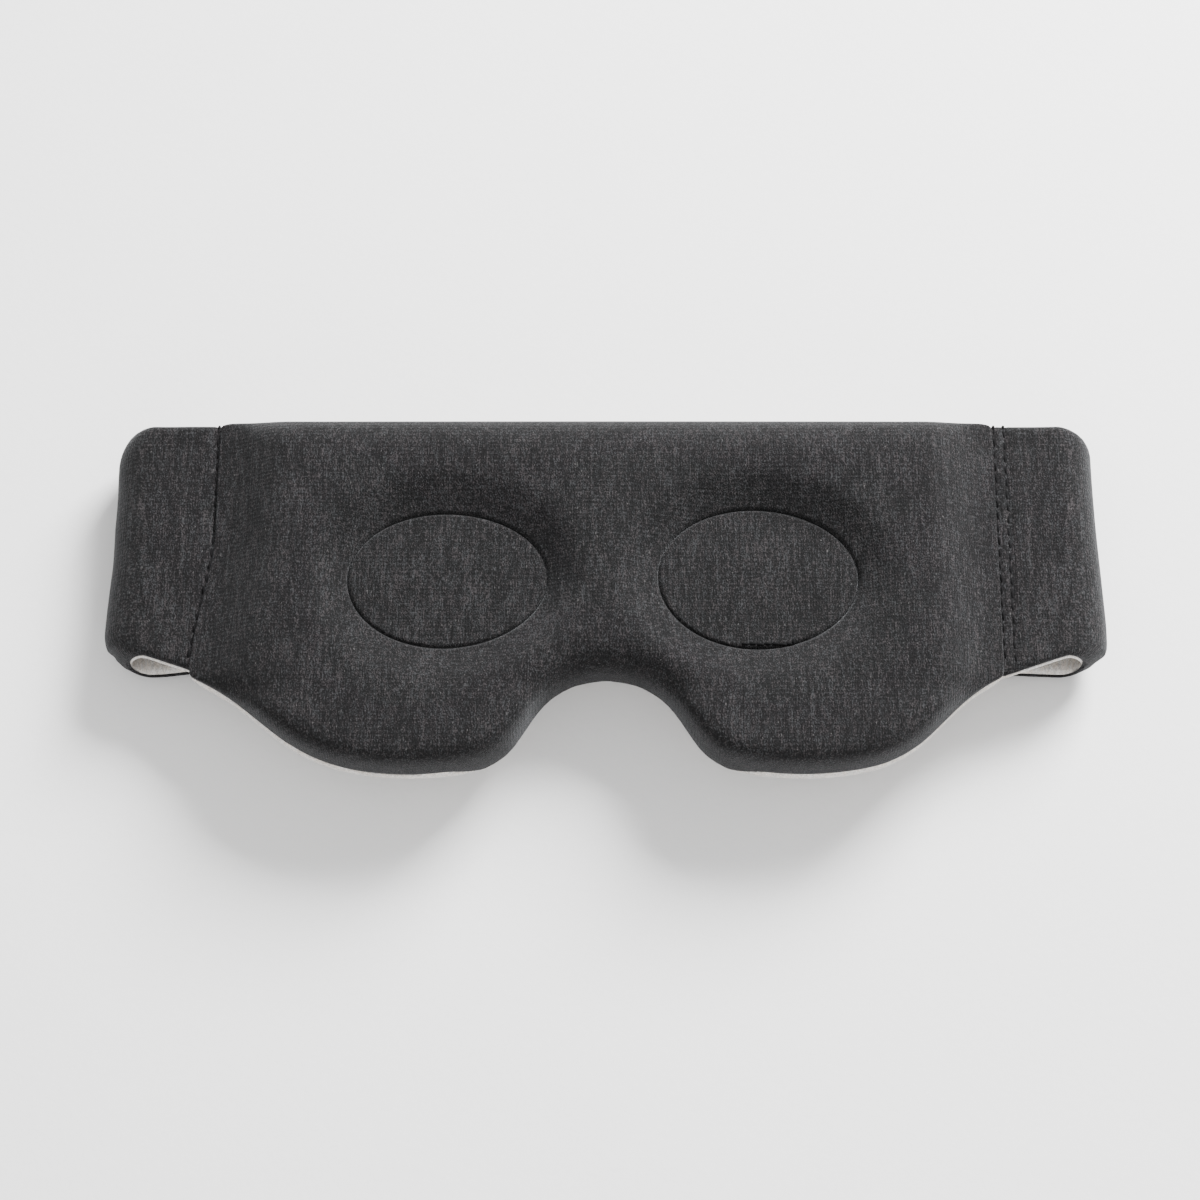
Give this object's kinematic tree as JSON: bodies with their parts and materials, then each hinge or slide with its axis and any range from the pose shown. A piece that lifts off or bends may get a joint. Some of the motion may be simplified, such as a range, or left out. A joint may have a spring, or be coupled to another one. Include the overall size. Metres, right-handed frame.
{
  "type": "sleep eye mask",
  "caption": "Padded sleep eye mask with recessed eye ovals, a nose arch and a wide soft band that folds behind it and closes with a hook-and-loop tab.",
  "frame": {"origin": "centre of the mask on the surface that its folded straps lie on", "axes": "+X across the face to the wearer's left as seen from the front, to the right of a viewer; +Y up the face; +Z out of the face, away from the wearer"},
  "size_m": [0.232, 0.0854, 0.0261],
  "materials": {
    "cover_knit": "charcoal heather fine jersey knit, matt",
    "lining_knit": "light grey heather fine jersey knit, matt",
    "foam": "open-cell foam, hidden inside the knit",
    "webbing": "woven webbing, matt",
    "hook": "moulded hook pile",
    "loop": "brushed loop pile",
    "thread": "polyester sewing thread"
  },
  "bodies": {
    "mask_front": {"front_cover": "cover_knit", "foam_core": "foam", "face_lining": "lining_knit", "left_eye_panel": "cover_knit", "left_eye_foam": "foam", "left_eye_cup_lining": "lining_knit", "left_eye_seam_thread": "thread", "left_wing_cover": "cover_knit", "left_wing_foam": "foam", "left_wing_lining": "lining_knit", "left_fold_cover": "cover_knit", "left_fold_foam": "foam", "left_fold_lining": "lining_knit", "left_side_stitches": "thread", "right_eye_panel": "cover_knit", "right_eye_foam": "foam", "right_eye_cup_lining": "lining_knit", "right_eye_seam_thread": "thread", "right_wing_cover": "cover_knit", "right_wing_foam": "foam", "right_wing_lining": "lining_knit", "right_fold_cover": "cover_knit", "right_fold_foam": "foam", "right_fold_lining": "lining_knit", "right_side_stitches": "thread"},
    "left_strap": {"left_strap_cover": "cover_knit", "left_strap_foam": "foam", "left_strap_lining": "lining_knit", "loop_patch": "loop", "loop_patch_stitches": "thread"},
    "right_strap": {"right_strap_cover": "cover_knit", "right_strap_foam": "foam", "right_strap_lining": "lining_knit"},
    "closure": {"closure_tab": "webbing", "hook_patch": "hook", "hook_patch_stitches": "thread"}
  },
  "joints": [
    {"name": "right_strap_swing", "type": "hinge", "parent": "mask_front", "child": "right_strap", "pos_m": [0.10653, 0.013, 0.0095], "axis": [0, -1, 0], "range_deg": [0, 178], "deforming": ["right_fold_cover", "right_fold_foam", "right_fold_lining"]},
    {"name": "left_strap_swing", "type": "hinge", "parent": "mask_front", "child": "left_strap", "pos_m": [-0.10653, 0.013, 0.0095], "axis": [0, 1, 0], "range_deg": [0, 178], "deforming": ["left_fold_cover", "left_fold_foam", "left_fold_lining"]},
    {"name": "closure_peel", "type": "hinge", "parent": "right_strap", "child": "closure", "pos_m": [-0.0356, 0.013, 0.0022], "axis": [0, -1, 0], "range_deg": [0, 85]}
  ],
  "couplings": [
    {"joint": "left_strap_swing", "follows": "right_strap_swing", "ratio": 1}
  ]
}
